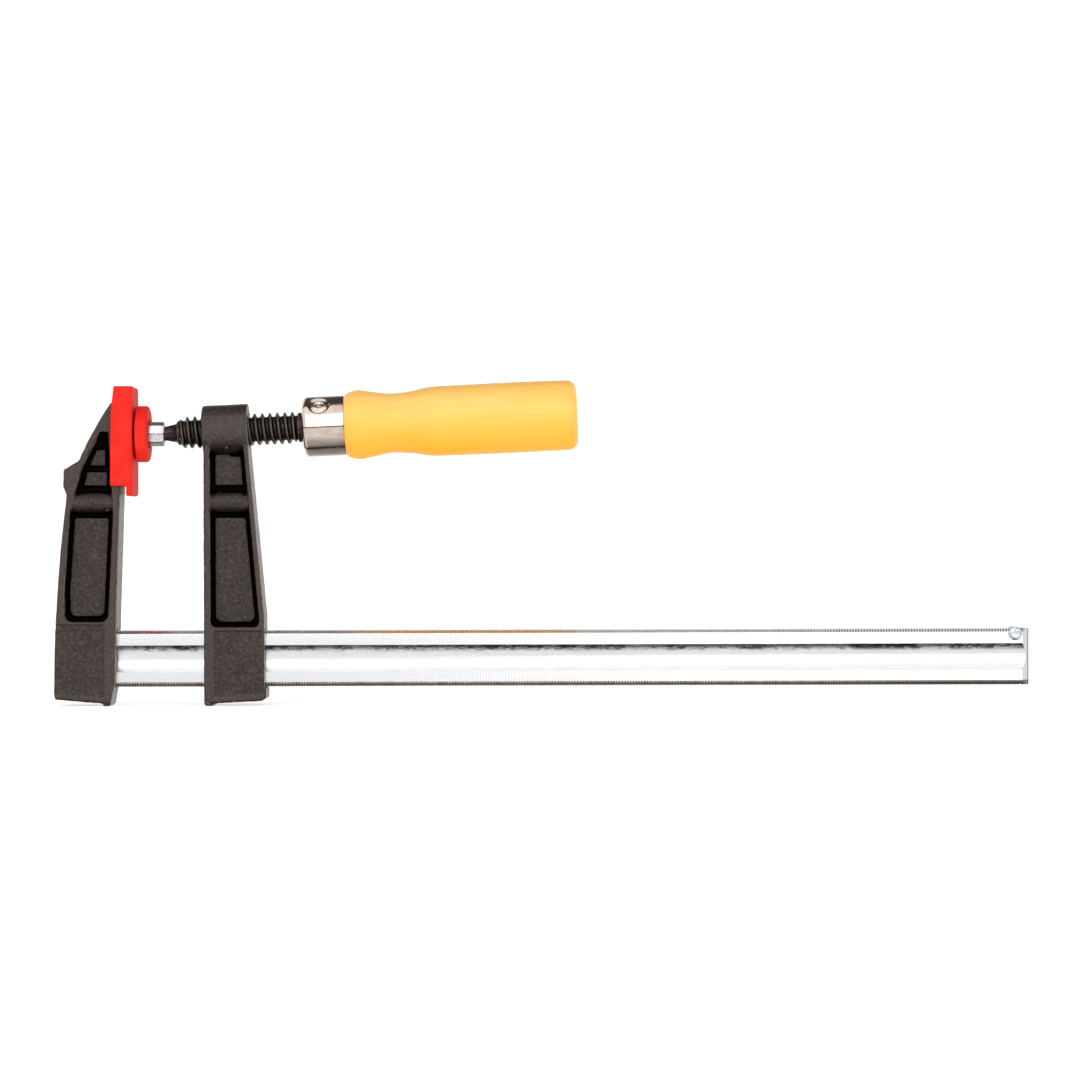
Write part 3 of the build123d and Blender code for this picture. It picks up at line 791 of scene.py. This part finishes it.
def make_world():
    """White in front and all round the horizon, dark high up behind and straight below.

    Each list holds (height, brightness) pairs, from -1 straight below to 1 straight above.
    """
    world = bpy.data.worlds.new("studio")
    bpy.context.scene.world = world
    world.use_nodes = True
    tree = world.node_tree
    way = tree.nodes.new("ShaderNodeTexCoord").outputs["Generated"]
    parts = tree.nodes.new("ShaderNodeSeparateXYZ")
    tree.links.new(way, parts.inputs[0])
    front = [(-1.0, 0.04), (-0.94, 0.06), (-0.86, 0.40), (-0.72, 0.8), (0.0, 0.82), (0.45, 0.93), (1.0, 0.95)]
    back = [(-1.0, 0.05), (-0.70, 0.30), (-0.25, 1.0), (0.22, 1.0), (0.45, 0.7), (0.66, 0.06), (0.93, 0.06),
            (1.0, 0.85)]
    sides = []
    for stops in (front, back):
        lift = tree.nodes.new("ShaderNodeMapRange")
        lift.inputs["From Min"].default_value = -1
        tree.links.new(parts.outputs["Z"], lift.inputs["Value"])
        ramp = tree.nodes.new("ShaderNodeValToRGB")
        ramp.color_ramp.interpolation = "EASE"
        while len(ramp.color_ramp.elements) < len(stops):
            ramp.color_ramp.elements.new(0.5)
        for element, (height, value) in zip(ramp.color_ramp.elements, stops):
            element.position = (height + 1) / 2
            element.color = (value, value, value, 1)
        tree.links.new(lift.outputs["Result"], ramp.inputs["Fac"])
        sides.append(ramp.outputs["Color"])
    turnover = 0.12
    share = tree.nodes.new("ShaderNodeMapRange")
    share.inputs["From Min"].default_value = -turnover
    share.inputs["From Max"].default_value = turnover
    tree.links.new(parts.outputs["Y"], share.inputs["Value"])
    blend = tree.nodes.new("ShaderNodeMix")
    blend.data_type = "RGBA"
    tree.links.new(share.outputs["Result"], blend.inputs[0])
    tree.links.new(sides[0], blend.inputs[6])
    tree.links.new(sides[1], blend.inputs[7])
    tree.links.new(blend.outputs[2], tree.nodes["Background"].inputs["Color"])
    tree.nodes["Background"].inputs["Strength"].default_value = 1.1


def make_light(name, place, size, watts):
    """A soft square light aimed at the middle of the clamp."""
    light = bpy.data.lights.new(name, "AREA")
    light.size = size
    light.energy = watts
    lamp = bpy.data.objects.new(name, light)
    bpy.context.scene.collection.objects.link(lamp)
    lamp.location = place
    aim = Vector((0.16, 0, -0.04)) - Vector(place)
    lamp.rotation_euler = aim.to_track_quat("-Z", "Y").to_euler()


def make_camera():
    """A long lens 1.3 m in front of the clamp, level with it and rolled a little."""
    camera = bpy.data.objects.new("camera", bpy.data.cameras.new("camera"))
    bpy.context.scene.collection.objects.link(camera)
    camera.data.lens = 108.33
    camera.data.sensor_width = 36
    camera.location = (0.1618, -1.3, -0.0424)
    camera.rotation_euler = (math.radians(90), math.radians(0.16), 0)
    camera.rotation_mode = "XYZ"
    bpy.context.scene.camera = camera


make_floor()
make_world()
make_light("key", (-0.35, -1.4, 0.75), 1.0, 5)
make_light("fill", (0.75, -1.5, 0.1), 1.2, 3)
make_camera()
bpy.context.scene.view_settings.view_transform = "Standard"
